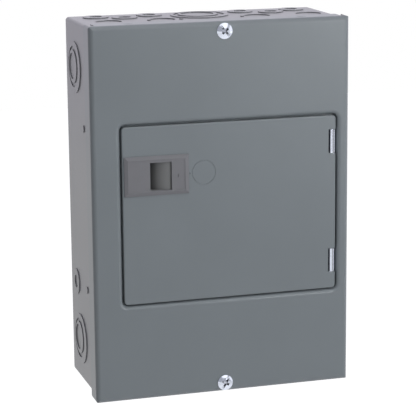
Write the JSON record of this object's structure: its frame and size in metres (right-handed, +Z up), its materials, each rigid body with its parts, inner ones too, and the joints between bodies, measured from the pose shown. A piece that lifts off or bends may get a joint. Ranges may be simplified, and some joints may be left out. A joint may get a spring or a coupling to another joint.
{
  "type": "residential load center",
  "caption": "Shallow steel wall box with knockouts, a lift-off cover and a hinged latching door over plug-on circuit breakers, bus and neutral bar.",
  "frame": {"origin": "middle of the box's back face, on the wall", "axes": "+Z up, +X right seen from the front, +Y into the wall; the front faces -Y"},
  "size_m": [0.2256, 0.0993, 0.3193],
  "materials": {
    "box_paint": "baked grey enamel, satin",
    "cover_paint": "baked grey enamel, satin",
    "bright_zinc": "bright zinc plate",
    "card": "plain blank card",
    "grey_plastic": "fine moulded texture",
    "dark_plastic": "fine moulded texture",
    "spring_steel": "drawn wire",
    "galvanised": "galvanised sheet",
    "black_moulding": "moulded thermoset",
    "handle_plastic": "smooth moulded",
    "tinned_bus": "tin plated bar",
    "lug_aluminium": "extruded",
    "brass_clip": "stamped",
    "green_screw": "green dyed plate"
  },
  "bodies": {
    "enclosure": {"enclosure_box": "box_paint", "interior_pan": "galvanised", "pan_screws": "bright_zinc", "bus_insulator": "black_moulding", "bus_bar_left": "tinned_bus", "bus_bar_right": "tinned_bus", "bus_screws": "bright_zinc", "main_lug_left": "lug_aluminium", "main_lug_right": "lug_aluminium", "main_lug_screws": "bright_zinc", "neutral_bar": "lug_aluminium", "neutral_terminal_screws": "bright_zinc", "neutral_standoffs": "black_moulding", "neutral_lug": "lug_aluminium", "neutral_lug_screw": "bright_zinc", "bonding_screw": "green_screw", "breaker_rail_left": "galvanised", "breaker_rail_right": "galvanised", "breaker_jaws": "brass_clip", "load_terminals": "brass_clip", "load_terminal_screws": "bright_zinc", "breaker_1_case": "black_moulding", "breaker_2_case": "black_moulding", "breaker_3_case": "black_moulding", "breaker_two_pole_case": "black_moulding", "breaker_4_case": "black_moulding"},
    "cover": {"cover": "cover_paint", "cover_screws": "bright_zinc", "dead_front": "cover_paint", "hinge_leaf_upper": "bright_zinc", "hinge_leaf_lower": "bright_zinc"},
    "door": {"door_panel": "cover_paint", "directory_card": "card", "hinge_pin_upper": "bright_zinc", "hinge_pin_lower": "bright_zinc", "hinge_clip_upper": "bright_zinc", "hinge_clip_lower": "bright_zinc", "latch_bezel": "grey_plastic", "latch_keeper": "grey_plastic", "latch_spring": "spring_steel"},
    "latch": {"latch_slide": "dark_plastic"},
    "breaker_1_toggle": {"breaker_1_handle": "handle_plastic"},
    "breaker_2_toggle": {"breaker_2_handle": "handle_plastic"},
    "breaker_3_toggle": {"breaker_3_handle": "handle_plastic"},
    "breaker_two_pole_toggle": {"breaker_two_pole_handle": "handle_plastic"},
    "breaker_4_toggle": {"breaker_4_handle": "handle_plastic"}
  },
  "joints": [
    {"name": "cover_lift_off", "type": "slide", "parent": "enclosure", "child": "cover", "axis": [0, -1, 0], "range_m": [0, 0.12]},
    {"name": "door_hinge", "type": "hinge", "parent": "cover", "child": "door", "pos_m": [0.0983, -0.0939, -0.00082], "axis": [0, 0, 1], "range_deg": [0, 120]},
    {"name": "latch_slide", "type": "slide", "parent": "door", "child": "latch", "axis": [1, 0, 0], "range_m": [0, 0.0045], "stiffness_N_per_m": 250, "springref_m": -0.002, "deforming": ["latch_spring"]},
    {"name": "breaker_1_toggle", "type": "hinge", "parent": "enclosure", "child": "breaker_1_toggle", "pos_m": [-0.04, -0.0675, 0.02775], "axis": [0, 0, -1], "range_deg": [0, 40]},
    {"name": "breaker_2_toggle", "type": "hinge", "parent": "enclosure", "child": "breaker_2_toggle", "pos_m": [-0.04, -0.0675, 0.0087], "axis": [0, 0, -1], "range_deg": [0, 40]},
    {"name": "breaker_3_toggle", "type": "hinge", "parent": "enclosure", "child": "breaker_3_toggle", "pos_m": [-0.04, -0.0675, -0.01035], "axis": [0, 0, -1], "range_deg": [0, 40]},
    {"name": "breaker_two_pole_toggle", "type": "hinge", "parent": "enclosure", "child": "breaker_two_pole_toggle", "pos_m": [0.04, -0.0675, 0.01823], "axis": [0, 0, 1], "range_deg": [0, 40]},
    {"name": "breaker_4_toggle", "type": "hinge", "parent": "enclosure", "child": "breaker_4_toggle", "pos_m": [0.04, -0.0675, -0.01035], "axis": [0, 0, 1], "range_deg": [0, 40]}
  ]
}
